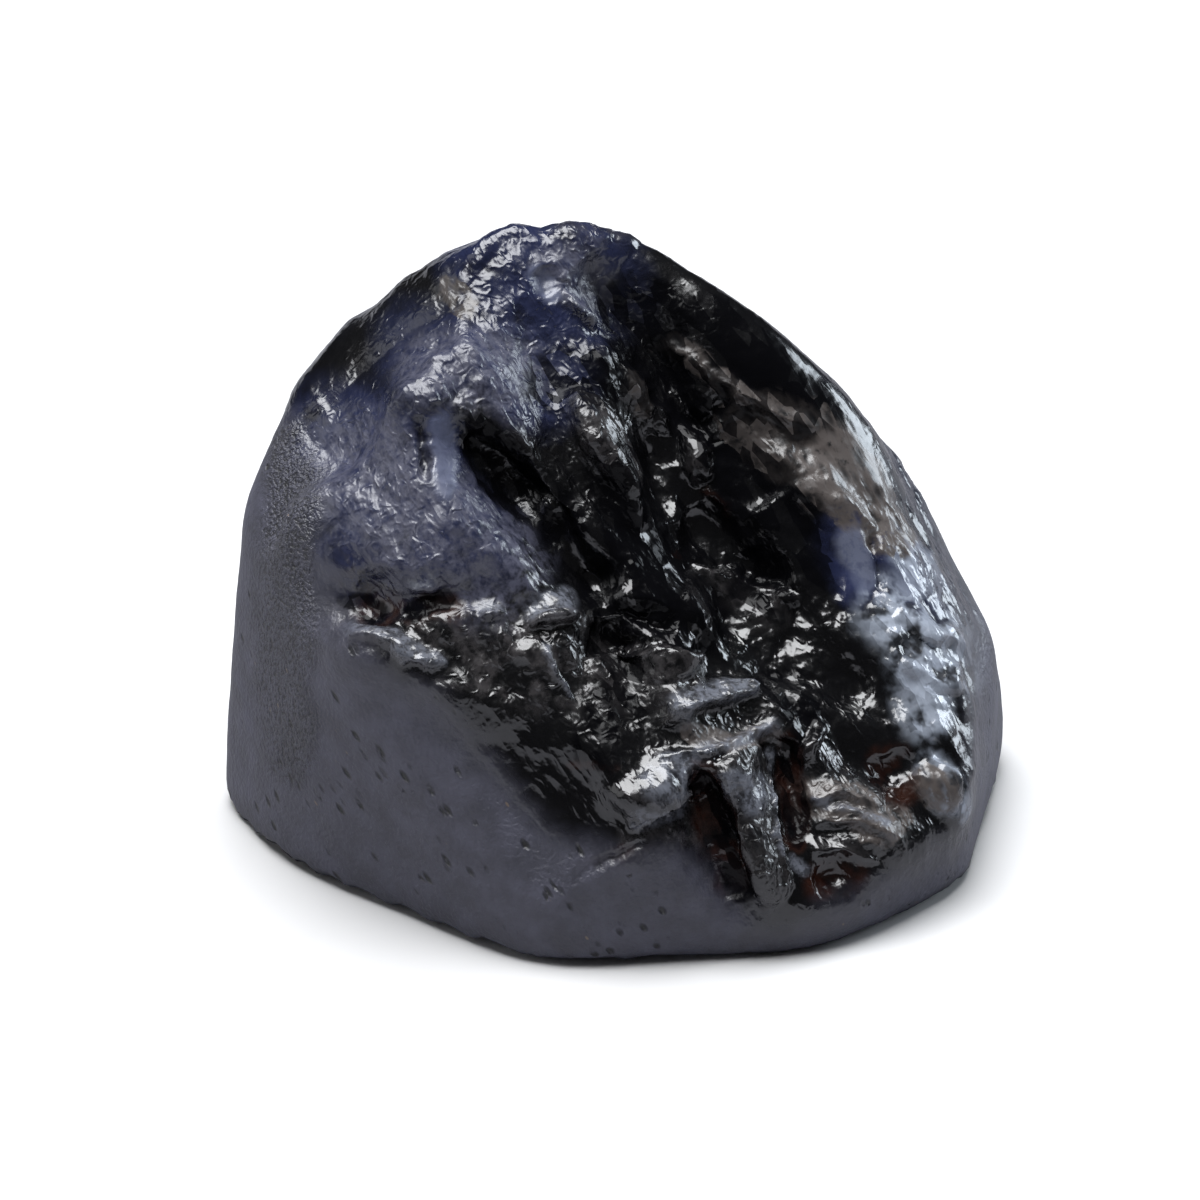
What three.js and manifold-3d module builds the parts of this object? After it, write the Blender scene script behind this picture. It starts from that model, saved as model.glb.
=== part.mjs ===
// A rough sapphire: one broken, water-worn lump of dark blue corundum, resting on its flat underside.
// Millimetres, +Z up, with the origin under the middle of the lump.
// The large fracture faces -Y and looks upwards.
import * as THREE from 'three';
import { ImprovedNoise } from 'three/addons/math/ImprovedNoise.js';
import { mergeVertices } from 'three/addons/utils/BufferGeometryUtils.js';
import Module from 'manifold-3d';

// Driving dimensions
const WIDTH = 15; // left to right, along X, which every other size follows
const HEART = new THREE.Vector3(0.2, 1.5, 4.8); // the point that every face is measured from
const EDGE_CRISPNESS = 32; // a higher power leaves less rounding where two faces meet
const SKIN_DETAIL = 22; // the skin starts as 20 * (detail + 1)^2 triangles
const SKIN_CROWDING = 0.35; // how far the skin's triangles crowd towards the fracture

// The faces of the lump. Bearing is anticlockwise from +X and rise is above the horizon, in degrees.
// Out is the distance from the heart, and rough is the height of the broken texture.
const FACES = [
  { name: 'left wall', bearing: 208, rise: 4, out: 6.83, rough: 0.03 },
  { name: 'front left wall', bearing: 233, rise: -3, out: 6.5, rough: 0.02 },
  { name: 'front wall', bearing: 276, rise: -6, out: 7.1, rough: 0.03 },
  { name: 'front right wall', bearing: 311, rise: -12, out: 8.4, rough: 0.05 },
  { name: 'right wall', bearing: 350, rise: 0, out: 7.9, rough: 0.05 },
  { name: 'right slope', bearing: 350, rise: 34, out: 5.75, rough: 0.16 },
  { name: 'right shoulder', bearing: 358, rise: 50, out: 6.32, rough: 0.1 },
  { name: 'crown', bearing: 130, rise: 84, out: 9.1, rough: 0.04 },
  { name: 'upper left slope', bearing: 194, rise: 50, out: 7.1, rough: 0.08 },
  { name: 'left shoulder', bearing: 191, rise: 30, out: 8.5, rough: 0.06 },
  { name: 'fracture', bearing: 297, rise: 42, out: 3.4, rough: 0.22 },
  { name: 'blue plateau', bearing: 228, rise: 41, out: 5.7, rough: 0.12 },
  { name: 'brow', bearing: 261, rise: 18, out: 5.2, rough: 0.14 },
  { name: 'rear wall', bearing: 84, rise: 14, out: 5.9, rough: 0.05 },
  { name: 'rear slope', bearing: 88, rise: 46, out: 6.6, rough: 0.18 },
  { name: 'rear left wall', bearing: 150, rise: 5, out: 6.4, rough: 0.05 },
  { name: 'rear right wall', bearing: 36, rise: 13, out: 6.6, rough: 0.12 },
  { name: 'rear left slope', bearing: 135, rise: 40, out: 7.2, rough: 0.12 },
  { name: 'rear right slope', bearing: 36, rise: 38, out: 5.9, rough: 0.1 },
  { name: 'rear foot', bearing: 84, rise: -32, out: 7.9, rough: 0.03 },
  { name: 'left foot', bearing: 207, rise: -38, out: 9.15, rough: 0.03 },
  { name: 'underside', bearing: 0, rise: -90, out: 6.6, rough: 0 },
];

// The two sides that carry relief. Places on a side are [right, up], as seen along its bearing and rise.
const SIDES = {
  front: { bearing: -90, rise: 30, middle: new THREE.Vector3(0, 0, 5.2) },
  rear: { bearing: 100, rise: 25, middle: new THREE.Vector3(0, 0, 5.2) },
};

// Ribs and hollows run along a path. Width is their reach to each side, and a hollow's lift is negative.
// A ledge rises slowly on the left of its path and drops at once on the right.
const RELIEF = {
  front: [
    { name: 'valley', path: [[1.6, 3.9], [2.5, 1.9], [3.7, 0]], width: 1.7, lift: -1.1 },
    { name: 'shoulder ridge', path: [[1.5, 4.6], [3.2, 3.4], [5.7, 1.2]], width: 0.7, lift: 0.35 },
    { name: 'shoulder trough', path: [[2.6, 4.3], [4, 3.2]], width: 0.7, lift: -0.3 },
    { name: 'black groove', path: [[-2.4, 3.1], [-1.2, 1.6], [0, 0.6]], width: 0.8, lift: -0.8 },
    { name: 'slab edge', path: [[-1.1, 2], [-1.9, 2.9], [-2.9, 3.8]], width: 1.5, lift: 0.5, ledge: true },
    { name: 'plateau bulge', path: [[-4.6, 1.4], [-3.2, 1.7]], width: 1.6, lift: 0.35 },
    { name: 'slab bulge', path: [[-3.1, 4.3], [-1.6, 4]], width: 1.3, lift: 0.3 },
    { name: 'upper ridge', path: [[-2.4, 5], [-3.3, 3.9], [-4.1, 2.9], [-5.6, 1.8]], width: 1.4, lift: 0.45,
      ledge: true },
    { name: 'leaf rib', path: [[-0.4, 3.9], [0, 3.1], [0.8, 2.1]], width: 0.6, lift: 0.45 },
    { name: 'upper rib', path: [[0.3, 4.8], [0.8, 3.9]], width: 0.55, lift: 0.3 },
    { name: 'valley rib', path: [[1.7, 4.1], [2, 3], [2.1, 2.2]], width: 0.55, lift: 0.4 },
    { name: 'far groove', path: [[3.8, 0.8], [5.5, -1.7]], width: 0.6, lift: -0.4 },
    { name: 'under plateau', path: [[-4.8, 0.2], [-3, 0.3], [-1.2, -0.1]], width: 0.6, lift: -0.3 },
    { name: 'brow shelf', path: [[-2, -1.6], [-3.2, -1.2], [-4.5, -0.7]], width: 1, lift: 0.35,
      ledge: true },
    { name: 'cave', path: [[0.2, -0.9], [0.7, -1.2]], width: 0.9, lift: -0.7 },
    { name: 'dark slab', path: [[0.2, -2.7], [1.7, -0.8]], width: 0.5, lift: 0.2 },
    { name: 'upper blade', path: [[3.3, -1.5], [2.1, -1.75], [1.2, -2.3]], width: 0.8, lift: 0.35,
      ledge: true },
    { name: 'lower blade', path: [[3.3, -2.3], [1.9, -2.8], [0.6, -3.3]], width: 0.8, lift: 0.5,
      ledge: true },
    { name: 'stem', path: [[2.5, -2.8], [2.8, -3.9], [3.2, -5.2]], width: 0.7, lift: 0.3 },
    { name: 'stem left hollow', path: [[1.9, -3.6], [2.2, -4.8], [2.7, -5.7]], width: 0.7, lift: -0.6 },
    { name: 'stem right hollow', path: [[3.5, -2.8], [3.7, -4.4], [3.9, -5.3]], width: 0.6, lift: -0.4 },
    { name: 'round lump', path: [[4.1, -2.7], [4.4, -2.8]], width: 0.6, lift: 0.35 },
    { name: 'rippled lump', path: [[4.6, -3.8], [5.5, -4.1]], width: 0.75, lift: 0.45 },
    { name: 'lump hollow', path: [[4.9, -3], [5.9, -3.2]], width: 0.55, lift: -0.35 },
    { name: 'low hollow', path: [[4.2, -5.1], [4.9, -5.4]], width: 0.6, lift: -0.35 },
    { name: 'bright block', path: [[5.9, -0.4], [6.3, -1.4]], width: 0.7, lift: 0.3 },
    { name: 'right block', path: [[6.6, -2], [6.7, -3]], width: 0.6, lift: 0.25 },
    { name: 'crown dip', path: [[-1.2, 5.9], [-0.9, 5.2]], width: 0.7, lift: -0.25 },
    { name: 'toe crack', path: [[0.7, -4.7], [0, -5], [-0.8, -5.5]], width: 0.7, lift: 0.18, ledge: true },
    { name: 'left scar', path: [[-6.7, -3.5], [-5.8, -4.3]], width: 0.6, lift: -0.2 },
  ],
  rear: [
    { name: 'rear scoop', path: [[-2.6, 0.6], [-0.8, 1.4]], width: 2.2, lift: -0.7 },
    { name: 'rear low scoop', path: [[3.4, -3.2], [4.4, -1.4]], width: 2.2, lift: -0.6 },
    { name: 'rear rib', path: [[-3.2, -1.6], [-1.2, -0.9], [1.6, 0.2], [2.2, 1]], width: 0.8, lift: 0.45 },
    { name: 'rear step', path: [[1, 2.4], [-0.4, 2.6], [-2, 2.4]], width: 1.4, lift: 0.35, ledge: true },
    { name: 'rear notch', path: [[0.4, -3.8], [1.2, -4.8]], width: 0.8, lift: -0.4 },
  ],
};

// The broken texture: long ridges that follow the fracture's grain, and shorter ones across them.
const GRAIN_ANGLE = -57; // degrees above the horizontal, in the view of the front
const GRAIN_STRETCH = 0.3; // the ridges are this much slower along the grain than across it
const RIDGE_SPACING = 1.7;
const LONG_RIDGES = 0.75; // share of the long ridges in the texture
const SHORT_RIDGES = 0.4; // share of the ridges across them
const LEDGE_DROP = 0.6; // a ledge falls over this distance
const LIMB_FADE = [0.05, 0.4]; // relief fades out where a side turns away from its own view
const FLOOR_BLOCK = new THREE.Vector3(60, 60, 20); // what the flat underside is cut with

const { smoothstep, degToRad } = THREE.MathUtils;
const perlin = new ImprovedNoise();
const wasm = await Module();
wasm.setup();

function direction(bearing, rise) {
  const b = degToRad(bearing);
  const r = degToRad(rise);
  return new THREE.Vector3(Math.cos(r) * Math.cos(b), Math.cos(r) * Math.sin(b), Math.sin(r));
}

// A side's own axes: toward its viewer, to the right and up as the viewer sees them.
function viewOf({ bearing, rise, middle }) {
  const toward = direction(bearing, rise);
  const right = direction(bearing + 90, 0);
  return { toward, right, up: new THREE.Vector3().crossVectors(toward, right), middle };
}

const views = Object.fromEntries(Object.entries(SIDES).map(([name, side]) => [name, viewOf(side)]));
const faces = FACES.map((face) => ({ ...face, normal: direction(face.bearing, face.rise) }));
const features = Object.entries(RELIEF).flatMap(([side, list]) => list.map((feature) => ({
  ...feature,
  view: views[side],
  path: feature.path.map(([right, up]) => new THREE.Vector2(right, up)),
})));

// How far out the lump reaches in a direction, and how rough it is there.
// The faces are blended where they meet.
function reach(toward) {
  let sum = 0;
  let rough = 0;
  for (const face of faces) {
    const share = Math.max(0, face.normal.dot(toward) / face.out) ** EDGE_CRISPNESS;
    sum += share;
    rough += share * face.rough;
  }
  return { out: sum ** (-1 / EDGE_CRISPNESS), rough: rough / sum };
}

// Distance from a place to a path, negative on the right of the path.
function distanceTo(path, place) {
  let nearest = Infinity;
  for (let i = 0; i + 1 < path.length; i++) {
    const run = path[i + 1].clone().sub(path[i]);
    const off = place.clone().sub(path[i]);
    const along = THREE.MathUtils.clamp(off.dot(run) / run.lengthSq(), 0, 1);
    off.addScaledVector(run, -along);
    if (off.length() < Math.abs(nearest)) nearest = off.length() * (run.cross(off) < 0 ? -1 : 1);
  }
  return nearest;
}

// The share of a feature's lift at a distance from its path.
function profile({ ledge, width }, distance) {
  if (!ledge) return Math.max(0, 1 - (distance / width) ** 2) ** 2;
  if (distance < 0) return Math.max(0, 1 + distance / LEDGE_DROP);
  return Math.max(0, 1 - distance / width);
}

function relief(point, toward) {
  let lift = 0;
  for (const feature of features) {
    const { view } = feature;
    const facing = smoothstep(toward.dot(view.toward), ...LIMB_FADE);
    if (facing === 0) continue;
    const off = point.clone().sub(view.middle);
    const place = new THREE.Vector2(off.dot(view.right), off.dot(view.up));
    lift += facing * feature.lift * profile(feature, distanceTo(feature.path, place));
  }
  return lift;
}

// Ridged noise in the grain's own axes, from -1 in a groove to 1 on a ridge.
function brokenTexture(point) {
  const { right, up, toward } = views.front;
  const grain = degToRad(GRAIN_ANGLE);
  const x = point.dot(right);
  const y = point.dot(up);
  const along = (x * Math.cos(grain) + y * Math.sin(grain)) * GRAIN_STRETCH / RIDGE_SPACING;
  const across = (y * Math.cos(grain) - x * Math.sin(grain)) / RIDGE_SPACING;
  const deep = point.dot(toward) / RIDGE_SPACING;
  const long = 1 - 4 * Math.abs(perlin.noise(along, across, deep));
  const short = perlin.noise(1.4 * across, 1.4 * deep, 4 * along);
  return LONG_RIDGES * long + SHORT_RIDGES * short;
}

// The lump before its underside is cut: a ball whose points are pushed out to the faces, ribs and hollows.
function skin() {
  const geometry = bare(new THREE.IcosahedronGeometry(1, SKIN_DETAIL));
  const position = geometry.attributes.position;
  const toward = new THREE.Vector3();
  for (let i = 0; i < position.count; i++) {
    toward.fromBufferAttribute(position, i).addScaledVector(views.front.toward, SKIN_CROWDING).normalize();
    const { out, rough } = reach(toward);
    const point = HEART.clone().addScaledVector(toward, out);
    const lift = relief(point, toward) + rough * brokenTexture(point);
    position.setXYZ(i, ...point.addScaledVector(toward, lift));
  }
  return geometry;
}

// A geometry with its positions alone, and its shared points merged.
function bare(geometry) {
  geometry.deleteAttribute('normal');
  geometry.deleteAttribute('uv');
  return mergeVertices(geometry, 1e-5);
}

function solidOf(geometry) {
  return new wasm.Manifold(new wasm.Mesh({
    numProp: 3,
    vertProperties: new Float32Array(geometry.attributes.position.array),
    triVerts: new Uint32Array(geometry.index.array),
  }));
}

function geometryOf(solid) {
  const mesh = solid.getMesh();
  const geometry = new THREE.BufferGeometry();
  geometry.setAttribute('position', new THREE.BufferAttribute(Float32Array.from(mesh.vertProperties), 3));
  geometry.setIndex(new THREE.BufferAttribute(Uint32Array.from(mesh.triVerts), 1));
  return geometry;
}

// The lump cut flat underneath, brought to its real width and set over the origin.
function sapphire() {
  const below = new THREE.BoxGeometry(...FLOOR_BLOCK).translate(0, 0, -FLOOR_BLOCK.z / 2);
  const geometry = geometryOf(solidOf(skin()).subtract(solidOf(bare(below))));
  geometry.computeBoundingBox();
  const size = geometry.boundingBox.getSize(new THREE.Vector3());
  const middle = geometry.boundingBox.getCenter(new THREE.Vector3());
  const scale = WIDTH / size.x;
  return geometry.translate(-middle.x, -middle.y, 0).scale(scale, scale, scale);
}

const stone = new THREE.Mesh(
  sapphire(),
  new THREE.MeshStandardMaterial({ color: 0x14161d, roughness: 0.35, metalness: 0 }),
);
stone.name = 'sapphire';

const part = new THREE.Group();
part.add(stone);

export default part;
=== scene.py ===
"""Looks of a rough sapphire: the broken skin of the stone, its finish, and a plain white studio.

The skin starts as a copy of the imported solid. Ribs, hollows, ledges and zones of colour are laid on it as
the photograph's view shows them, and a node tree adds the fine broken texture.
"""
import math

import bmesh
import bpy
import numpy as np
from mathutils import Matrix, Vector, noise


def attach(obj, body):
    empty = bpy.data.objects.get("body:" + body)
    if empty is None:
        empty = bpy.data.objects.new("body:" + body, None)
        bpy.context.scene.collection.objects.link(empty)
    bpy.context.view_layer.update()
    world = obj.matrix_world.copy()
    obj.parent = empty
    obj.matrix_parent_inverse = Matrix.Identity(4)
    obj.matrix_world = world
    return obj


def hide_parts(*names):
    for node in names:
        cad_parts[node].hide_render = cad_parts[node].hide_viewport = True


bl_info = {
    "name": "Rough sapphire",
    "version": (1, 0, 0),
    "blender": (4, 5, 0),
    "location": "View3D > Sidebar > Sapphire",
    "description": "Builds the broken skin of a rough sapphire and the studio around it",
    "category": "Mesh",
}

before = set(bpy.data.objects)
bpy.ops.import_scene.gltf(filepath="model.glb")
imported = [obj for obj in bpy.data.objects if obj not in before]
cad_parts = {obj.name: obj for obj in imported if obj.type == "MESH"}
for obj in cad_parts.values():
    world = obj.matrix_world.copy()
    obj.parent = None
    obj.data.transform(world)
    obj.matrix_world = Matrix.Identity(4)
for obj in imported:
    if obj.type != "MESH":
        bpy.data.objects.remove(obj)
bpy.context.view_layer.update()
NODE = "sapphire"
MM = 0.001

# The photograph's view, in millimetres and degrees
VIEW_TARGET = np.array((-0.28, -0.452, 4.417))
VIEW_DISTANCE = 150.0
VIEW_SLOPE = math.radians(30)
IMAGE_SIZE = 1200
PIXELS_PER_MM = 52.96
VIEW_BACK = np.array((0.0, -math.cos(VIEW_SLOPE), math.sin(VIEW_SLOPE)))
VIEW_RIGHT = np.array((1.0, 0.0, 0.0))
VIEW_UP = np.cross(VIEW_BACK, VIEW_RIGHT)
STONE_HEART = np.array((-0.3, 0.4, 4.6))
FRONT_EDGE = 0.3  # how far the seen side fades out at the outline, as a cosine

# The stone's grain, as it runs in the photograph, and how far things are drawn out along it
GRAIN_ANGLE = math.radians(-57)
FLUTE_STRETCH = 5.0
CHIP_STRETCH = 1.6
SHARD_STRETCH = 2.4

# Zones of the skin, as strokes in the photograph: a path and its reach to each side, in pixels
ZONES = {
    "blue": [
        ([(350, 440), (400, 480), (370, 540), (450, 540)], 75),
        ([(440, 430), (442, 490)], 26),
        ([(500, 260), (560, 275), (590, 290)], 70),
        ([(420, 350), (500, 340), (540, 380)], 60),
        ([(845, 535), (860, 580)], 34),
        ([(900, 560), (930, 590)], 40),
    ],
    "taupe": [
        ([(668, 340), (716, 376), (768, 416)], 14),
        ([(760, 425), (830, 470), (895, 525)], 46),
        ([(690, 732), (730, 738), (772, 728)], 14),
        ([(804, 796), (850, 804), (886, 826)], 26),
        ([(448, 285), (462, 302)], 18),
        ([(925, 780), (940, 800)], 22),
        ([(630, 380), (640, 410)], 12),
    ],
    "rust": [
        ([(364, 606), (410, 610), (458, 612)], 18),
        ([(574, 768), (614, 764)], 5),
        ([(704, 780), (728, 880)], 22),
        ([(790, 740), (796, 840)], 14),
        ([(890, 760), (905, 790)], 24),
        ([(820, 880), (850, 870)], 20),
        ([(580, 872), (625, 850)], 10),
        ([(680, 545), (682, 549)], 4),
        ([(866, 461), (870, 463)], 5),
        ([(706, 486), (728, 500), (730, 516)], 4),
    ],
    # Pale: bleached facets, and painted highlights on ledge treads and thin bright lines
    "pale_and_highlight": [
        ([(350, 630), (390, 637), (432, 664)], 11),
        ([(538, 606), (564, 602)], 16),
        ([(486, 604), (498, 604)], 9),
        ([(414, 582), (434, 582)], 7),
        ([(548, 640), (554, 668), (570, 692)], 4),
        ([(655, 778), (692, 770)], 20),
        ([(640, 814), (676, 808)], 14),
        ([(680, 708), (704, 694), (750, 684)], 13),
        ([(736, 780), (752, 800)], 19),
        ([(700, 748), (740, 736), (775, 720)], 9),
        ([(812, 800), (850, 806), (884, 822)], 6),
        ([(770, 750), (770, 790), (777, 850)], 5),
        ([(850, 540), (862, 570)], 16),
        ([(570, 300), (600, 322)], 4),
        ([(790, 860), (806, 870)], 7),
    ],
    "chips": [
        ([(920, 640), (960, 720)], 80),
        ([(820, 480), (880, 560)], 50),
        ([(400, 610), (540, 640)], 80),
    ],
    "flutes": [
        ([(480, 420), (620, 560), (740, 700)], 130),
        ([(690, 380), (800, 560), (860, 660)], 110),
    ],
    "wrinkles": [
        ([(430, 350), (520, 360), (560, 430)], 100),
        ([(360, 460), (420, 520)], 90),
        ([(560, 280), (640, 340)], 90),
        ([(665, 715), (770, 705)], 40),
        ([(748, 760), (765, 890)], 28),
        ([(800, 790), (885, 820)], 40),
        ([(470, 640), (620, 690)], 70),
    ],
    "leather": [
        ([(302, 446), (290, 520), (286, 600), (280, 680), (290, 750)], 34),
    ],
    "pocks": [
        ([(310, 760), (400, 800), (470, 850), (540, 930)], 50),
        ([(560, 945), (640, 910)], 36),
    ],
    # Painted sheen: lighter grey-blue patches that stand in for the silver sheen of the plateau and slab
    "painted_sheen": [
        ([(370, 470), (420, 520), (480, 560)], 75),
        ([(430, 365), (510, 370)], 50),
        ([(555, 275), (600, 285)], 30),
    ],
    # Painted glints: bright blue-white blocks that stand in for reflections of the right panel
    "glints": [
        ([(890, 610), (930, 640), (985, 660)], 42),
        ([(912, 560), (935, 590)], 24),
        ([(915, 650), (925, 710)], 34),
        ([(930, 770), (950, 800)], 24),
    ],
    "mottle": [
        ([(380, 600), (460, 640), (560, 660)], 60),
        ([(640, 845), (690, 830)], 26),
    ],
    "shade": [
        ([(478, 436), (520, 486), (560, 524)], 32),
        ([(560, 380), (630, 375), (700, 400)], 46),
        ([(640, 300), (720, 330), (770, 390), (800, 420)], 36),
        ([(720, 430), (770, 500), (800, 560)], 52),
        ([(620, 480), (640, 560), (690, 620)], 46),
        ([(745, 590), (775, 605)], 30),
        ([(600, 620), (630, 680), (600, 740)], 38),
        ([(785, 680), (812, 720)], 24),
        ([(700, 780), (722, 830), (738, 890)], 18),
        ([(790, 740), (796, 840)], 12),
        ([(346, 598), (372, 608)], 12),
        ([(412, 612), (446, 602)], 14),
    ],
    # Painted reflection: light blue on smooth facets, standing in for reflected light
    "sky": [
        ([(440, 424), (444, 450), (446, 490)], 14),
        ([(850, 538), (864, 576)], 17),
        ([(535, 278), (550, 296)], 12),
    ],
    "smooth": [
        ([(400, 310), (320, 390)], 42),
        ([(650, 250), (720, 300), (800, 370), (870, 440)], 62),
        ([(440, 426), (446, 490)], 15),
        ([(535, 276), (552, 296)], 15),
        ([(850, 535), (862, 575)], 20),
        ([(520, 368), (532, 374)], 14),
    ],
}

# The worn walls' upper border, then round the foot of the stone
WORN_WALLS = [
    (190, 420), (290, 420), (318, 460), (322, 520), (340, 600),
    (350, 640), (410, 684), (446, 708), (470, 738), (510, 786), (560, 836), (620, 856),
    (680, 850), (710, 880), (752, 922), (800, 928), (850, 895), (920, 870), (975, 845),
    (985, 690), (1060, 690), (1060, 1040), (190, 1040),
]

# Shares of the zones on the sides that the photograph doesn't show
HIDDEN_ZONES = {"chips": 0.5, "flutes": 0.6, "wrinkles": 0.4, "blue": 0.35}
WORN_TOP = 6.4  # height in mm up to which the hidden sides are worn

FOOT_ROUNDING = 0.8  # height in mm over which the foot is rounded
FOOT_INSET = 0.2  # how far in mm the foot is drawn in at the floor
FLAT_FOOT = 0.04  # height in mm below which the skin is laid flat on the floor
LEDGE_DROP = 6.0  # pixels over which a ledge falls
HOLLOW_DEPTH = 0.4  # depth in mm at which a hollow's painted shade is at its darkest
CREST_HEIGHT = 0.3  # lift in mm at which a crest's painted sheen is at its greyest

# Ribs, hollows and ledges: kind, path and reach in pixels, and lift in millimetres
STROKES = [
    ("ledge", [(522, 464), (485, 440), (450, 404)], 60, 0.2),
    ("hollow", [(478, 436), (520, 486), (572, 532)], 28, -0.45),
    ("crack", [(421, 414), (424, 440), (425, 480)], 8, -0.28),
    ("hollow", [(535, 274), (548, 296)], 20, -0.16),
    ("rib", [(545, 228), (600, 218), (640, 235)], 60, 0.22),
    ("hollow", [(520, 226), (470, 280), (400, 330), (320, 400)], 44, -0.22),
    ("leaf", [(604, 328), (564, 293)], 10, 0.2),
    ("leaf", [(566, 386), (598, 440), (640, 496)], 26, 0.34),
    ("leaf", [(628, 366), (644, 420)], 18, 0.26),
    ("leaf", [(640, 414), (668, 428)], 14, 0.2),
    ("leaf", [(690, 360), (706, 420)], 22, 0.26),
    ("leaf", [(684, 424), (702, 484)], 20, 0.26),
    ("crest", [(706, 486), (728, 500), (730, 516)], 6, 0.12),
    ("crest", [(668, 340), (716, 376), (768, 416), (816, 436)], 14, 0.2),
    ("hollow", [(700, 500), (740, 560), (780, 600)], 40, -0.3),
    ("hollow", [(720, 430), (770, 500)], 36, -0.3),
    ("hollow", [(585, 262), (640, 320), (680, 390), (704, 450)], 46, -0.5),
    ("crack", [(879, 530), (880, 596)], 7, -0.16),
    ("ledge", [(436, 674), (392, 646), (346, 638)], 18, 0.26),
    ("ledge", [(574, 616), (528, 624)], 26, 0.3),
    ("ledge", [(506, 612), (480, 614)], 16, 0.2),
    ("ledge", [(440, 590), (408, 590)], 12, 0.16),
    ("hollow", [(350, 600), (400, 614), (470, 608)], 24, -0.14),
    ("crest", [(548, 640), (554, 668), (570, 692)], 6, 0.16),
    ("hollow", [(600, 612), (640, 618), (672, 632)], 18, -0.3),
    ("ledge", [(690, 570), (740, 575), (800, 605)], 65, 0.35),
    ("hollow", [(690, 652), (760, 664), (820, 672), (870, 695)], 40, -0.25),
    ("ledge", [(585, 662), (640, 650), (705, 658)], 75, 0.42),
    ("ledge", [(766, 684), (706, 703), (664, 724)], 28, 0.34),
    ("crest", [(776, 718), (704, 752), (644, 764)], 8, 0.16),
    ("ledge", [(708, 786), (664, 800), (626, 824)], 40, 0.34),
    ("hollow", [(700, 770), (722, 830), (738, 896)], 22, -0.4),
    ("hollow", [(788, 736), (790, 780), (796, 840)], 16, -0.3),
    ("slab", [(746, 760), (750, 800), (758, 850), (768, 884)], 25, 0.14),
    ("crest", [(722, 756), (730, 792), (738, 828), (741, 868), (754, 890)], 6, 0.1),
    ("crest", [(772, 742), (770, 788), (776, 844), (784, 884)], 6, 0.1),
    ("rib", [(806, 742), (820, 748)], 26, 0.2),
    ("ledge", [(886, 806), (840, 790), (800, 802)], 26, 0.2),
    ("ledge", [(892, 838), (862, 824), (812, 822)], 24, 0.16),
    ("ledge", [(880, 858), (846, 850), (810, 852)], 20, 0.18),
    ("ledge", [(870, 816), (844, 808), (822, 813)], 9, 0.07),
    ("ledge", [(888, 850), (862, 838), (836, 836)], 9, 0.06),
    ("hollow", [(884, 752), (900, 786)], 26, -0.2),
    ("hollow", [(816, 878), (850, 872)], 24, -0.18),
    ("leaf", [(924, 760), (946, 816)], 26, 0.24),
    ("ledge", [(962, 690), (920, 676), (892, 650)], 26, 0.2),
    ("ledge", [(972, 650), (930, 640), (896, 616)], 24, 0.2),
    ("crack", [(562, 884), (600, 862), (644, 842)], 8, -0.14),
    ("crack", [(252, 792), (275, 808), (292, 830)], 9, -0.08),
    ("ledge", [(560, 836), (510, 790), (470, 742), (446, 712), (410, 690)], 26, 0.06),
]

# Where the outline stands out further than the solid: path and reach in pixels, and lift in millimetres
SWELLS = [([(690, 265), (815, 385), (910, 490)], 90, 0.24)]

# Raggedness: waves per millimetre with their share, and how far in pixels strokes and walls stray
RAGGED = ((0.9, 1.0), (2.7, 0.5), (7.0, 0.3))
RAGGED_STROKES = 8.0
RAGGED_WALLS = 14.0

# Sizes of flake scars against the largest, and how steep they are against it
SCAR_SIZES = ((1.0, 1.0), (0.45, 0.5), (0.2, 0.35))

# Cells and waves of the finish, per millimetre
PATCHES = 1.6
SHARDS = 4.6
RIME = 5.0
LEATHER = 12.0
POCKS = 5.0
DENTS = 3.0
CRINKLES = 8.0
FINE_WRINKLES = 5.0

SAPPHIRE_IOR = 1.77
GLOSSY = 0.19  # roughness of broken stone
SATIN = 0.53  # roughness of worn walls

# Light panels: where they stand in metres, width, depth and colour
LOOK_AT = (0, 0, 0.005)
PANELS = {
    "top": ((-0.02, 0.02, 0.23), 0.2, 0.18, (0.97, 0.98, 1.0)),
    "left": ((-0.25, -0.04, 0.13), 0.16, 0.14, (0.97, 0.98, 1.0)),
    "right": ((0.22, 0.11, 0.07), 0.12, 0.08, (0.82, 0.91, 1.0)),
}
FLOOR_HALF = 1.5  # half the floor's width in metres


class StoneSizes(bpy.types.PropertyGroup):
    """Sizes of the stone's skin and of its broken texture"""

    grid: bpy.props.FloatProperty(
        name="Skin grid", description="Size of the walls' faces in mm", default=0.132)
    flute_spacing: bpy.props.FloatProperty(
        name="Flute spacing", description="Between flutes, in mm", default=0.8)
    flute_slope: bpy.props.FloatProperty(name="Flute slope", description="At the crests", default=0.18)
    chip_spacing: bpy.props.FloatProperty(
        name="Chip spacing", description="Between chips, in mm", default=1.1)
    chip_slope: bpy.props.FloatProperty(name="Chip slope", description="At the crests", default=0.22)
    wrinkle_spacing: bpy.props.FloatProperty(name="Wrinkle spacing", description="In mm", default=0.34)
    wrinkle_height: bpy.props.FloatProperty(name="Wrinkle height", description="In mm", default=0.05)
    seed: bpy.props.FloatProperty(
        name="Seed", description="Picks another broken texture and raggedness", default=3.0)


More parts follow.
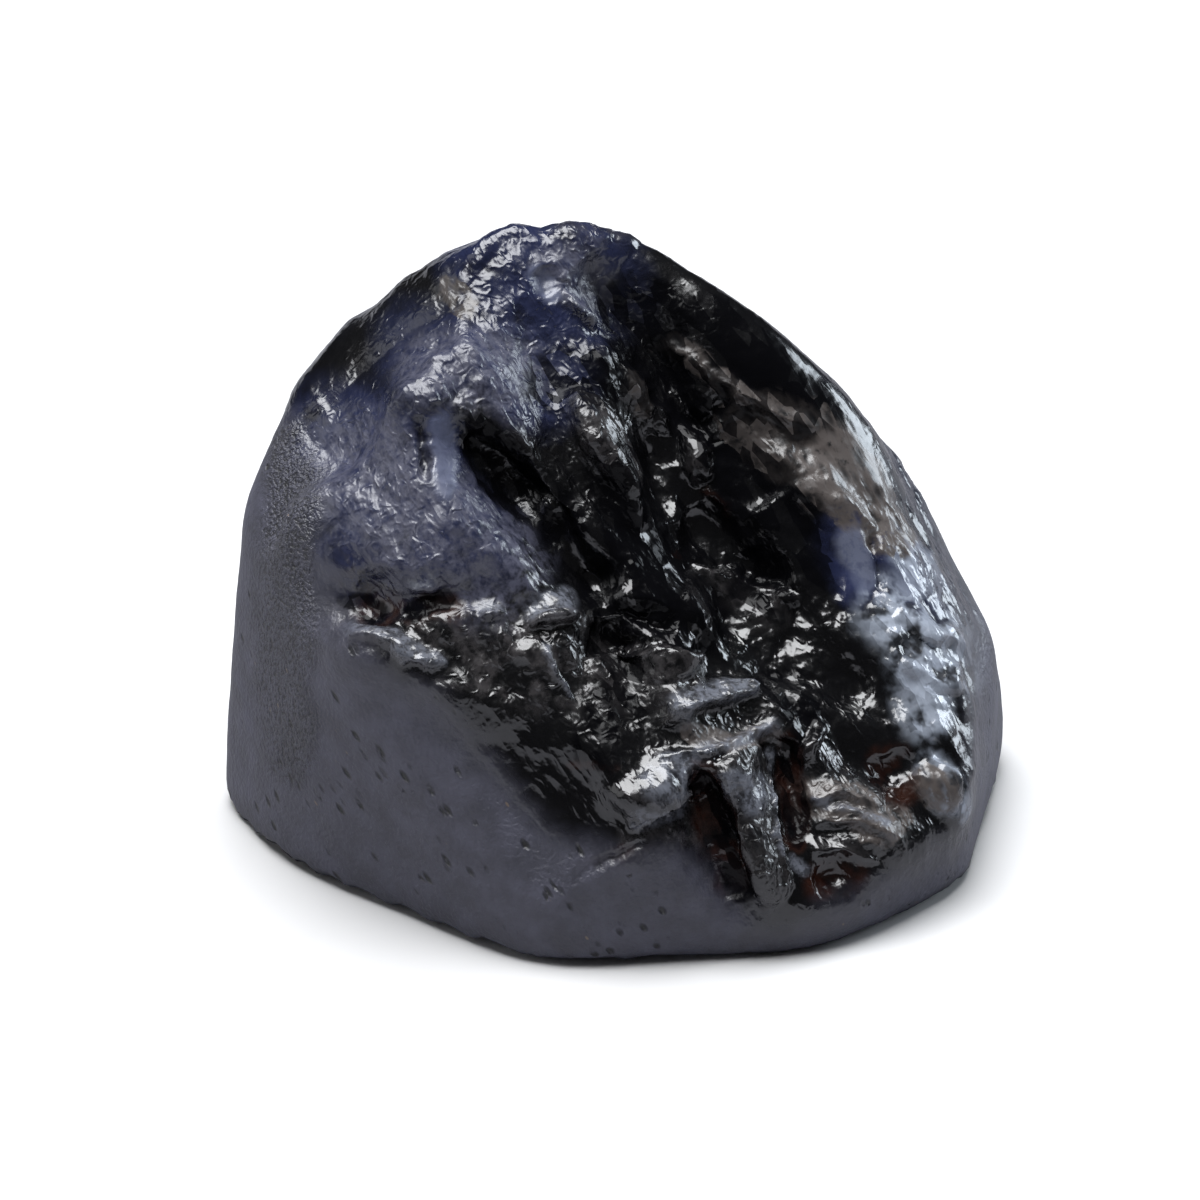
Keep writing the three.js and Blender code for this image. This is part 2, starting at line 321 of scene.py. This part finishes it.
class StoneFinish(bpy.types.PropertyGroup):
    """Colours of the stone"""

    body: bpy.props.FloatVectorProperty(
        name="Body", description="Nearly black", subtype="COLOR", size=3, default=(0.0026, 0.0026, 0.0034))
    blue: bpy.props.FloatVectorProperty(
        name="Blue", description="Navy plateaus", subtype="COLOR", size=3, default=(0.02, 0.026, 0.072))
    wall: bpy.props.FloatVectorProperty(
        name="Worn wall", description="Matte walls", subtype="COLOR", size=3, default=(0.068, 0.069, 0.098))
    taupe: bpy.props.FloatVectorProperty(
        name="Taupe", description="Weathered ridges", subtype="COLOR", size=3, default=(0.1, 0.086, 0.08))
    rust: bpy.props.FloatVectorProperty(
        name="Rust", description="Stain in hollows", subtype="COLOR", size=3, default=(0.03, 0.009, 0.005))
    # Pale: bleached facets, partly painted highlights on treads and bright lines
    pale_and_highlight: bpy.props.FloatVectorProperty(
        name="Pale", description="Bleached facets", subtype="COLOR", size=3, default=(0.14, 0.15, 0.18))
    # Painted sheen on the plateau and slab
    painted_sheen: bpy.props.FloatVectorProperty(
        name="Frost", description="Frosted patches", subtype="COLOR", size=3, default=(0.09, 0.093, 0.135))
    # Painted glints: a bright colour standing in for reflections
    painted_glint: bpy.props.FloatVectorProperty(
        name="Glint", description="Bright blocks", subtype="COLOR", size=3, default=(0.42, 0.47, 0.56))
    # Painted sheen on raised crests
    crest: bpy.props.FloatVectorProperty(
        name="Crest", description="Grey crests", subtype="COLOR", size=3, default=(0.055, 0.051, 0.053))
    # Painted reflection on smooth facets
    sky: bpy.props.FloatVectorProperty(
        name="Sky", description="Light blue facets", subtype="COLOR", size=3, default=(0.15, 0.17, 0.26))
    dust: bpy.props.FloatVectorProperty(
        name="Dust", description="Specks on the walls", subtype="COLOR", size=3, default=(0.2, 0.15, 0.12))


class StudioLight(bpy.types.PropertyGroup):
    """Brightness of the studio's panels and room, as seen in a mirror"""

    top: bpy.props.FloatProperty(name="Overhead", description="Of the panel overhead", default=8.0)
    left: bpy.props.FloatProperty(name="Left", description="Of the panel at the left", default=0.85)
    right: bpy.props.FloatProperty(name="Right", description="Of the panel at the right", default=8.0)
    surround: bpy.props.FloatProperty(name="Surround", description="Of the dark room", default=0.03)


class Wire:
    """A node's output socket, with arithmetic that adds Math nodes"""

    def __init__(self, graph, socket):
        self.graph = graph
        self.socket = socket

    def _math(self, operation, first, second):
        return self.graph.node("ShaderNodeMath", {"operation": operation}, {0: first, 1: second})

    def __add__(self, other):
        return self._math("ADD", self, other)

    def __radd__(self, other):
        return self._math("ADD", other, self)

    def __sub__(self, other):
        return self._math("SUBTRACT", self, other)

    def __rsub__(self, other):
        return self._math("SUBTRACT", other, self)

    def __mul__(self, other):
        return self._math("MULTIPLY", self, other)

    def __rmul__(self, other):
        return self._math("MULTIPLY", other, self)

    def __truediv__(self, other):
        return self._math("DIVIDE", self, other)

    def __rtruediv__(self, other):
        return self._math("DIVIDE", other, self)

    def __pow__(self, other):
        return self._math("POWER", self, other)

    def __rpow__(self, other):
        return self._math("POWER", other, self)

    def ramp(self, low, high):
        """0 below low, 1 above high, smooth between them."""
        settings = {"interpolation_type": "SMOOTHSTEP"}
        values = {"Value": self, "From Min": low, "From Max": high}
        return self.graph.node("ShaderNodeMapRange", settings, values)


class Graph:
    """A node tree that is written as expressions"""

    def __init__(self, tree):
        self.tree = tree

    def node(self, kind, settings=None, values=None, out=0):
        made = self.tree.nodes.new(kind)
        for key, value in (settings or {}).items():
            setattr(made, key, value)
        for key, value in (values or {}).items():
            if isinstance(value, Wire):
                self.tree.links.new(value.socket, made.inputs[key])
            else:
                made.inputs[key].default_value = value
        return Wire(self, made.outputs[out])

    def blend(self, share, first, second):
        """A colour between two colours."""
        colours = [c if isinstance(c, Wire) else (*c, 1.0) for c in (first, second)]
        values = {0: share, 6: colours[0], 7: colours[1]}
        return self.node("ShaderNodeMix", {"data_type": "RGBA"}, values, 2)

    def vector(self, operation, first, second, out=0):
        return self.node("ShaderNodeVectorMath", {"operation": operation}, {0: first, 1: second}, out)

    def cells(self, place, scale, metric="EUCLIDEAN"):
        """The gap to the middle of the nearest cell, and a number picked for that cell."""
        settings = {"feature": "F1", "distance": metric}
        values = {"Vector": place, "Scale": scale}
        gap = self.node("ShaderNodeTexVoronoi", settings, values)
        picked = Wire(self, gap.socket.node.outputs[1])
        return gap, self.node("ShaderNodeSeparateXYZ", None, {0: picked})

    def along_grain(self, place, stretch):
        """Coordinates that run along the stone's grain, in which all is drawn out by stretch."""
        grain = VIEW_RIGHT * math.cos(GRAIN_ANGLE) + VIEW_UP * math.sin(GRAIN_ANGLE)
        axes = (grain / stretch, np.cross(VIEW_BACK, grain), VIEW_BACK)
        parts = [self.vector("DOT_PRODUCT", place, tuple(axis), 1) for axis in axes]
        return self.node("ShaderNodeCombineXYZ", None, dict(enumerate(parts)))

    def noise(self, place, scale, detail=3.0, roughness=0.5):
        values = {"Vector": place, "Scale": scale, "Detail": detail, "Roughness": roughness}
        return self.node("ShaderNodeTexNoise", {"noise_type": "FBM"}, values)

    def ridges(self, place, scale, detail, roughness, distortion):
        """Noise that rises to sharp ridges."""
        values = {"Vector": place, "Scale": scale, "Detail": detail, "Roughness": roughness}
        values["Distortion"] = distortion
        return self.node("ShaderNodeTexNoise", {"noise_type": "RIDGED_MULTIFRACTAL"}, values)


def photo_places(points):
    """Where points of the stone, in millimetres, show in the photograph, in pixels."""
    off = points - VIEW_TARGET
    scale = PIXELS_PER_MM * VIEW_DISTANCE / (VIEW_DISTANCE - off @ VIEW_BACK)
    across = IMAGE_SIZE / 2 + off @ VIEW_RIGHT * scale
    down = IMAGE_SIZE / 2 - off @ VIEW_UP * scale
    return np.stack((across, down), 1)


def wobble(points, reach):
    """A ragged shift of places in pixels, so that strokes don't run smoothly."""
    shifts = np.zeros((len(points), 2))
    for scale, share in RAGGED:
        shifts += share * np.array([noise.noise_vector(Vector(point) * scale)[:2] for point in points])
    return reach * shifts


def smooth(value, low, high):
    share = np.clip((value - low) / (high - low), 0.0, 1.0)
    return share * share * (3 - 2 * share)


def path_distance(places, path):
    """Distance to a path in pixels, negative on its right as it is walked, and the share walked."""
    lengths = [math.dist(start, end) for start, end in zip(path[:-1], path[1:])]
    nearest = np.full(len(places), np.inf)
    signed = np.zeros(len(places))
    walked = np.zeros(len(places))
    for index, (start, end) in enumerate(zip(path[:-1], path[1:])):
        run = np.subtract(end, start).astype(float)
        off = places - start
        share = np.clip(off @ run / (run @ run), 0.0, 1.0)
        gap = off - share[:, None] * run
        distance = np.hypot(*gap.T)
        side = np.where(run[0] * off[:, 1] - run[1] * off[:, 0] > 0, -1.0, 1.0)
        closer = distance < nearest
        nearest = np.where(closer, distance, nearest)
        signed = np.where(closer, distance * side, signed)
        walked = np.where(closer, (sum(lengths[:index]) + share * lengths[index]) / sum(lengths), walked)
    return signed, walked


def inside(places, corners):
    """Distance inside a closed outline in pixels, negative outside it."""
    distance = np.abs(path_distance(places, corners + corners[:1])[0])
    within = np.zeros(len(places), bool)
    for (ax, ay), (bx, by) in zip(corners, corners[1:] + corners[:1]):
        crosses = (ay > places[:, 1]) != (by > places[:, 1])
        with np.errstate(divide="ignore", invalid="ignore"):
            within ^= crosses & (places[:, 0] < (bx - ax) * (places[:, 1] - ay) / (by - ay) + ax)
    return np.where(within, distance, -distance)


def stroke_lift(kind, places, path, reach):
    """The share of a stroke's lift at places in the photograph.

    A ledge climbs slowly on the right of its path, as it is walked, and falls off on the left.
    """
    distance, walked = path_distance(places, path)
    near = np.clip(1 - np.abs(distance) / reach, 0, 1)
    taper = np.sqrt(np.clip(4 * walked * (1 - walked), 0, 1))
    if kind in ("rib", "hollow"):
        return taper * near
    if kind == "swell":
        return taper ** 2 * smooth(near, 0.0, 1.0)
    if kind == "slab":
        return np.clip(near / 0.35, 0, 1)
    if kind == "ledge":
        return taper * np.where(distance > 0, np.clip(1 - distance / LEDGE_DROP, 0, 1), near)
    if kind == "leaf":
        near = np.clip(1 - np.abs(distance) / (reach * taper + 1), 0, 1)
        return taper * np.where(distance < 0, smooth(near, 0.0, 0.9), smooth(near, 0.0, 0.4))
    return taper * near ** 1.4


def points_of(mesh):
    flat = np.empty(len(mesh.vertices) * 3, np.float32)
    mesh.vertices.foreach_get("co", flat)
    return flat.reshape(-1, 3).astype(float)


def normals_of(mesh):
    flat = np.empty(len(mesh.vertices) * 3, np.float32)
    mesh.vertex_normals.foreach_get("vector", flat)
    return flat.reshape(-1, 3).astype(float)


def set_points(mesh, points):
    mesh.vertices.foreach_set("co", points.astype(np.float32).ravel())
    mesh.update()


def finished_mesh(piece, name):
    """The piece's mesh with its modifiers applied, as a plain mesh."""
    bpy.context.view_layer.update()
    shown = piece.evaluated_get(bpy.context.evaluated_depsgraph_get())
    mesh = bpy.data.meshes.new_from_object(shown)
    mesh.name = name
    return mesh


def solid_copy():
    """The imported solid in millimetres, with its loose triangles joined."""
    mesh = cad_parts[NODE].data.copy()
    mesh.materials.clear()
    shape = bmesh.new()
    shape.from_mesh(mesh)
    bmesh.ops.scale(shape, vec=Vector((1, 1, 1)) / MM, verts=shape.verts)
    bmesh.ops.remove_doubles(shape, verts=shape.verts, dist=1e-3)
    shape.to_mesh(mesh)
    shape.free()
    return mesh


def even_skin(grid):
    """The solid's skin, rounded and cut into even faces."""
    piece = bpy.data.objects.new("skin_work", solid_copy())
    bpy.context.scene.collection.objects.link(piece)
    rounding = piece.modifiers.new("round", "SUBSURF")
    rounding.levels = rounding.render_levels = 1
    evening = piece.modifiers.new("even", "REMESH")
    evening.mode = "VOXEL"
    evening.voxel_size = grid
    mesh = finished_mesh(piece, "sapphire_skin")
    bpy.data.objects.remove(piece)
    return mesh


def refine(mesh, wanted):
    """Cuts the faces that lie among wanted points into four."""
    shape = bmesh.new()
    shape.from_mesh(mesh)
    edges = [edge for edge in shape.edges if all(wanted[point.index] for point in edge.verts)]
    bmesh.ops.subdivide_edges(shape, edges=edges, cuts=1, use_grid_fill=True)
    shape.to_mesh(mesh)
    shape.free()


def round_foot(mesh):
    """Rounds the edge of the flat underside inwards, as a worn stone's is."""
    points = points_of(mesh)
    low = np.clip(1 - points[:, 2] / FOOT_ROUNDING, 0, 1)
    away = points[:, :2] / np.maximum(np.linalg.norm(points[:, :2], axis=1), 1e-6)[:, None]
    points[:, :2] -= away * (FOOT_INSET * (1 - np.sqrt(1 - low * low)))[:, None]
    set_points(mesh, points)


def paint(mesh, name, values):
    mesh.attributes.new(name, "FLOAT", "POINT").data.foreach_set("value", values.astype(np.float32))


def front_share(points):
    """1 on the side that the photograph shows, 0 behind it."""
    toward = points - STONE_HEART
    toward /= np.linalg.norm(toward, axis=1)[:, None]
    return smooth(toward @ VIEW_BACK, 0.0, FRONT_EDGE)


def wall_share(points, normals, front):
    """1 on the worn walls, 0 on broken stone."""
    upright = smooth(0.45 - np.abs(normals[:, 2] - 0.05), -0.1, 0.15)
    hidden = upright * smooth(WORN_TOP - points[:, 2], -0.6, 0.6)
    seen = smooth(inside(photo_places(points) + wobble(points, RAGGED_WALLS), WORN_WALLS), -26, 30)
    return front * seen + (1 - front) * hidden


def lay_strokes(mesh):
    """Moves the skin out to its ribs and in to its hollows, and paints its zones."""
    points = points_of(mesh)
    normals = normals_of(mesh)
    front = front_share(points)
    worn = wall_share(points, normals, front)
    places = photo_places(points) + wobble(points, RAGGED_STROKES)
    lift = np.zeros(len(points))
    for kind, path, reach, height in STROKES:
        lift += height * stroke_lift(kind, places, path, reach)
    lift *= front
    swell = sum(height * stroke_lift("swell", places, path, reach) for path, reach, height in SWELLS)
    set_points(mesh, points + normals * (lift + swell)[:, None])
    paint(mesh, "worn", worn)
    # Painted shade in the hollows and painted sheen on the crests, by how far the strokes move the skin
    paint(mesh, "hollow", np.clip(-lift / HOLLOW_DEPTH, 0.0, 1.0))
    paint(mesh, "crest", np.clip(lift / CREST_HEIGHT, 0.0, 1.0))
    for name, strokes in ZONES.items():
        zone = np.zeros(len(points))
        for path, reach in strokes:
            distance = np.abs(path_distance(places, path)[0])
            zone = np.maximum(zone, 1 - smooth(distance, 0.5 * reach, 1.15 * reach))
        paint(mesh, name, np.maximum(front * zone, (1 - front) * HIDDEN_ZONES.get(name, 0.0)))


def texture_tree(material):
    """Geometry nodes that add flutes, chips, wrinkles and a slight swell to the skin."""
    tree = bpy.data.node_groups.new("broken_skin", "GeometryNodeTree")
    graph = Graph(tree)
    face = tree.interface
    face.new_socket("Skin", in_out="INPUT", socket_type="NodeSocketGeometry")
    for name in StoneSizes.__annotations__:
        if name != "grid":
            face.new_socket(name, in_out="INPUT", socket_type="NodeSocketFloat")
    face.new_socket("Skin", in_out="OUTPUT", socket_type="NodeSocketGeometry")
    source = tree.nodes.new("NodeGroupInput")
    size = {s.name: Wire(graph, s) for s in source.outputs if s.name}

    def zone(name):
        return graph.node("GeometryNodeInputNamedAttribute", {"data_type": "FLOAT"}, {"Name": name})

    def scars(place, spacing, slope, metric, shape):
        """Flake scars in three sizes that meet in sharp crests, each of a shape from middle to crest."""
        height = 0.0
        for ratio, share in SCAR_SIZES:
            gap = graph.cells(place, 1 / (spacing * ratio), metric)[0]
            height = height + shape(gap) * spacing * slope * (ratio * share)
        return height

    def flute(gap):
        return gap ** 4.0 - 0.12

    def chip(gap):
        return gap - 0.8

    place = graph.node("GeometryNodeInputPosition")
    seed = graph.node("ShaderNodeCombineXYZ", None, {0: size["seed"], 1: size["seed"], 2: size["seed"]})
    place = graph.vector("ADD", place, seed)
    swirl = graph.node("ShaderNodeTexNoise", None, {"Vector": place, "Scale": 1.5, "Detail": 3.0}, 1)
    swirl = graph.vector("SUBTRACT", swirl, (0.5, 0.5, 0.5))
    place = graph.vector("ADD", place, graph.vector("MULTIPLY", swirl, (0.35, 0.35, 0.35)))
    long = graph.along_grain(place, FLUTE_STRETCH)
    short = graph.along_grain(place, CHIP_STRETCH)

    flutes = scars(long, size["flute_spacing"], size["flute_slope"], "EUCLIDEAN", flute)
    chips = scars(short, size["chip_spacing"], size["chip_slope"], "MANHATTAN", chip)
    wrinkles = graph.ridges(short, 1 / size["wrinkle_spacing"], 3.0, 0.6, 0.6)
    swell = graph.noise(place, 0.9, 2.0, 0.5) - 0.5

    broken = (1 - zone("worn")) * (1 - 0.85 * zone("smooth")) * (1 - 0.6 * zone("pale_and_highlight"))
    height = zone("flutes") * flutes + zone("chips") * chips
    height = height + (0.35 + 0.65 * zone("wrinkles")) * size["wrinkle_height"] * (wrinkles - 0.7)
    height = broken * (height + 0.2 * swell)
    height = height + zone("worn") * 0.05 * swell

    normal = graph.node("GeometryNodeInputNormal")
    offset = graph.node("ShaderNodeVectorMath", {"operation": "SCALE"}, {0: normal, "Scale": height})
    skin = graph.node("GeometryNodeSetPosition", None, {"Geometry": size["Skin"], "Offset": offset})
    skin = graph.node("GeometryNodeRealizeInstances", None, {"Geometry": skin})
    skin = graph.node("GeometryNodeSetMaterial", None, {"Geometry": skin, "Material": material})
    end = tree.nodes.new("NodeGroupOutput")
    tree.links.new(skin.socket, end.inputs[0])
    return tree


def sapphire_finish(finish):
    """Near-black blue corundum: glossy where it is broken, satin where it is worn."""
    material = bpy.data.materials.new("sapphire")
    material.use_nodes = True
    graph = Graph(material.node_tree)
    shader = material.node_tree.nodes["Principled BSDF"]

    def zone(name):
        return graph.node("ShaderNodeAttribute", {"attribute_name": name}, None, 2)

    place = graph.node("ShaderNodeTexCoord", None, None, 3)
    place = graph.node("ShaderNodeVectorMath", {"operation": "SCALE"}, {0: place, "Scale": 1 / MM})
    grained = graph.along_grain(place, SHARD_STRETCH)
    patch = graph.noise(place, PATCHES, 3.0, 0.6)
    shard_gap, shard_pick = graph.cells(grained, SHARDS)
    rime = graph.noise(place, RIME, 3.0, 0.7)
    worn = zone("worn")

    def broken_zone(name):
        """A zone with an angular edge, along the borders of small shards."""
        return (zone(name) + (shard_pick - 0.5) * 0.5 + (patch - 0.5) * 0.8).ramp(0.35, 0.75)

    colour = graph.blend(zone("blue") * patch.ramp(0.15, 0.6), finish.body, finish.blue)
    # Painted shade and light on the fine shards: darker in their pits, lighter on their crests as the bump
    # lifts them; it is used on the crests, the taupe and the pale zones
    edge = 0.25 + 0.75 * shard_gap.ramp(0.12, 0.5)
    # Painted sheen on raised crests, with the mottle's random grey patches
    crest_sheen_and_mottle = zone("crest") * 0.8 + zone("mottle") * patch.ramp(0.4, 0.6)
    colour = graph.blend(crest_sheen_and_mottle * edge * rime.ramp(0.3, 0.6), colour, finish.crest)
    # Painted sheen: lighter grey-blue on the plateau and slab
    colour = graph.blend(zone("painted_sheen") * rime.ramp(0.3, 0.65), colour, finish.painted_sheen)
    # Painted glints: bright blocks that stand in for reflections
    blocks = (0.08 + 0.92 * patch.ramp(0.38, 0.54)) * (0.4 + 0.6 * shard_pick)
    colour = graph.blend(zone("glints") * blocks, colour, finish.painted_glint)
    colour = graph.blend(broken_zone("taupe") * edge * rime.ramp(0.25, 0.5), colour, finish.taupe)
    # Pale: bleached facets, partly painted highlights on treads and bright lines
    colour = graph.blend(zone("pale_and_highlight") * edge * (0.3 + 0.7 * rime.ramp(0.4, 0.56)), colour, finish.pale_and_highlight)
    # Painted reflection: light blue on smooth facets
    colour = graph.blend(zone("sky") * (0.3 + 0.6 * rime), colour, finish.sky)
    # Painted shade: hollows darkened towards the body colour
    colour = graph.blend(zone("hollow") * 0.8, colour, finish.body)
    colour = graph.blend(zone("rust") * patch.ramp(0.35, 0.65), colour, finish.rust)

    leather = graph.noise(place, LEATHER, 2.0, 0.6)
    pock_gap, pock_pick = graph.cells(grained, POCKS)
    picked = (pock_pick + zone("pocks") * 0.45).ramp(0.85, 0.9)
    pocks = (1 - pock_gap.ramp(0.15, 0.4)) * patch.ramp(0.42, 0.52) * picked
    dust = (1 - pock_gap.ramp(0.08, 0.16)) * (1 - pock_pick.ramp(0.05, 0.07))
    dark_wall = [0.7 * part for part in finish.wall]
    light_wall = [1.3 * part for part in finish.wall]
    wall = graph.blend(patch.ramp(0.25, 0.75), dark_wall, light_wall)
    wall = graph.blend((1 - leather.ramp(0.38, 0.52)) * zone("leather") * 0.8, wall, finish.body)
    wall = graph.blend(pocks, wall, finish.body)
    wall = graph.blend(dust, wall, finish.dust)
    colour = graph.blend(worn, colour, wall)

    soft = zone("taupe") * 0.12 + zone("painted_sheen") * 0.1 + zone("wrinkles") * 0.08
    roughness = GLOSSY + worn * (SATIN - GLOSSY) + (1 - worn) * soft + (patch - 0.5) * 0.1
    dents = graph.noise(place, DENTS, 2.0, 0.6) * 0.03
    skin = leather * (0.03 + zone("leather") * 0.16) + dents - pocks * 0.06
    foil = shard_gap * (0.035 + 0.02 * zone("glints"))
    foil = foil + graph.ridges(grained, CRINKLES, 2.0, 0.4, 0.5) * 0.024
    foil = foil * (0.5 + 0.6 * patch.ramp(0.3, 0.65)) * (1 - 0.7 * zone("smooth"))
    foil = foil * (1 - 0.4 * zone("chips"))
    foil = foil + graph.ridges(place, FINE_WRINKLES, 2.0, 0.45, 0.8) * zone("wrinkles") * 0.04
    relief = worn * skin + (1 - worn) * (1 - 0.6 * zone("sky")) * foil
    bump = graph.node("ShaderNodeBump", None, {"Strength": 1.0, "Distance": MM, "Height": relief})

    shader.inputs["IOR"].default_value = SAPPHIRE_IOR
    for name, wire in {"Base Color": colour, "Roughness": roughness, "Normal": bump}.items():
        material.node_tree.links.new(wire.socket, shader.inputs[name])

    # Painted shade: deep hollows and the shade zones are mixed towards a dull black without gloss, apart
    # from single shards
    deep = zone("shade") + 0.5 * zone("hollow") + (rime - 0.5) * 0.9
    shade = deep.ramp(0.15, 0.95) * (0.85 - 0.6 * shard_pick.ramp(0.66, 0.74))
    values = {"Base Color": (*finish.body, 1.0), "Roughness": 0.9, "Specular IOR Level": 0.0}
    painted_shade_black = graph.node("ShaderNodeBsdfPrincipled", None, values)
    glossy = Wire(graph, shader.outputs[0])
    mixed = graph.node("ShaderNodeMixShader", None, {0: shade, 1: glossy, 2: painted_shade_black})
    output = material.node_tree.nodes["Material Output"]
    material.node_tree.links.new(mixed.socket, output.inputs["Surface"])
    return material


class SAPPHIRE_OT_stone(bpy.types.Operator):
    """Build the stone's broken skin over its solid"""

    bl_idname = "sapphire.stone"
    bl_label = "Stone"

    def execute(self, context):
        sizes = context.scene.sapphire_sizes
        noise.seed_set(int(sizes.seed))
        mesh = even_skin(sizes.grid)
        points = points_of(mesh)
        front = front_share(points)
        refine(mesh, front * (1 - wall_share(points, normals_of(mesh), front)) > 0.1)
        round_foot(mesh)
        lay_strokes(mesh)
        piece = bpy.data.objects.new("sapphire_skin", mesh)
        context.scene.collection.objects.link(piece)
        tree = texture_tree(sapphire_finish(context.scene.sapphire_finish))
        modifier = piece.modifiers.new("broken_skin", "NODES")
        modifier.node_group = tree
        for item in tree.interface.items_tree:
            if item.in_out == "INPUT" and item.socket_type == "NodeSocketFloat":
                modifier[item.identifier] = getattr(sizes, item.name)
        skin = finished_mesh(piece, "sapphire_skin")
        piece.modifiers.clear()
        points = points_of(skin)
        points[:, 2] = np.where(points[:, 2] < FLAT_FOOT, 0.0, points[:, 2])
        set_points(skin, points * MM)
        skin.shade_smooth()
        piece.data = skin
        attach(piece, "root")
        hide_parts(NODE)
        return {"FINISHED"}


def add_panel(scene, name, radiance):
    """A soft light panel, as bright in a mirror as its radiance says."""
    place, width, depth, colour = PANELS[name]
    light = bpy.data.lights.new(name, "AREA")
    light.shape = "RECTANGLE"
    light.size = width
    light.size_y = depth
    light.energy = radiance * math.pi * width * depth
    light.color = colour
    lamp = bpy.data.objects.new(name, light)
    lamp.location = place
    lamp.rotation_euler = (Vector(LOOK_AT) - Vector(place)).to_track_quat("-Z", "Y").to_euler()
    scene.collection.objects.link(lamp)


def paper_finish():
    """White paper that throws less light back at the stone than the camera sees."""
    material = bpy.data.materials.new("white_paper")
    material.use_nodes = True
    graph = Graph(material.node_tree)
    shader = material.node_tree.nodes["Principled BSDF"]
    fleck = graph.noise(graph.node("ShaderNodeTexCoord", None, None, 3), 400.0)
    seen = graph.node("ShaderNodeLightPath")
    tint = graph.blend(fleck, (0.84, 0.84, 0.84), (0.88, 0.88, 0.88))
    tint = graph.blend(seen, (0.4, 0.4, 0.43), tint)
    material.node_tree.links.new(tint.socket, shader.inputs["Base Color"])
    shader.inputs["Roughness"].default_value = 0.9
    shader.inputs["Specular IOR Level"].default_value = 0.0
    return material


def add_floor(scene):
    """A wide sheet of white paper under the stone."""
    low, high = -FLOOR_HALF, FLOOR_HALF
    corners = [(low, low, 0), (high, low, 0), (high, high, 0), (low, high, 0)]
    mesh = bpy.data.meshes.new("floor")
    mesh.from_pydata(corners, [], [(0, 1, 2, 3)])
    mesh.materials.append(paper_finish())
    floor = bpy.data.objects.new("floor", mesh)
    scene.collection.objects.link(floor)


def add_room(scene, surround):
    """A room that is white to the camera and dark to the stone."""
    world = bpy.data.worlds.new("room")
    world.use_nodes = True
    graph = Graph(world.node_tree)
    seen = graph.node("ShaderNodeLightPath")
    sky = world.node_tree.nodes["Background"]
    sky.inputs["Color"].default_value = (1.0, 1.0, 1.0, 1.0)
    strength = surround + seen * (1 - surround)
    world.node_tree.links.new(strength.socket, sky.inputs["Strength"])
    scene.world = world
    scene.view_settings.view_transform = "Standard"


def add_camera(scene):
    """The camera that shows the stone as the photograph does."""
    lens = bpy.data.cameras.new("camera")
    lens.sensor_width = 36.0
    lens.lens = lens.sensor_width * VIEW_DISTANCE * PIXELS_PER_MM / IMAGE_SIZE
    lens.clip_start = 0.01
    lens.clip_end = 10.0
    camera = bpy.data.objects.new("camera", lens)
    camera.location = (VIEW_TARGET + VIEW_BACK * VIEW_DISTANCE) * MM
    camera.rotation_euler = (math.pi / 2 - VIEW_SLOPE, 0, 0)
    scene.collection.objects.link(camera)
    scene.camera = camera


class SAPPHIRE_OT_studio(bpy.types.Operator):
    """Build the floor, the lights and the camera"""

    bl_idname = "sapphire.studio"
    bl_label = "Studio"

    def execute(self, context):
        scene = context.scene
        add_floor(scene)
        for name in PANELS:
            add_panel(scene, name, getattr(scene.sapphire_light, name))
        add_room(scene, scene.sapphire_light.surround)
        add_camera(scene)
        return {"FINISHED"}


class SAPPHIRE_PT_panel(bpy.types.Panel):
    """The sapphire's builders"""

    bl_idname = "SAPPHIRE_PT_panel"
    bl_label = "Rough sapphire"
    bl_space_type = "VIEW_3D"
    bl_region_type = "UI"
    bl_category = "Sapphire"

    def draw(self, context):
        for operator in OPERATORS:
            self.layout.operator(operator.bl_idname)
        for group in GROUPS:
            settings = getattr(context.scene, group)
            for name in GROUPS[group].__annotations__:
                self.layout.prop(settings, name)


GROUPS = {"sapphire_sizes": StoneSizes, "sapphire_finish": StoneFinish, "sapphire_light": StudioLight}
OPERATORS = (SAPPHIRE_OT_stone, SAPPHIRE_OT_studio)
CLASSES = (*GROUPS.values(), *OPERATORS, SAPPHIRE_PT_panel)


def register():
    for cls in CLASSES:
        bpy.utils.register_class(cls)
    for name, group in GROUPS.items():
        setattr(bpy.types.Scene, name, bpy.props.PointerProperty(type=group))


def unregister():
    for name in GROUPS:
        delattr(bpy.types.Scene, name)
    for cls in reversed(CLASSES):
        bpy.utils.unregister_class(cls)


def main():
    register()
    bpy.ops.sapphire.stone()
    bpy.ops.sapphire.studio()


if __name__ == "__main__":
    main()
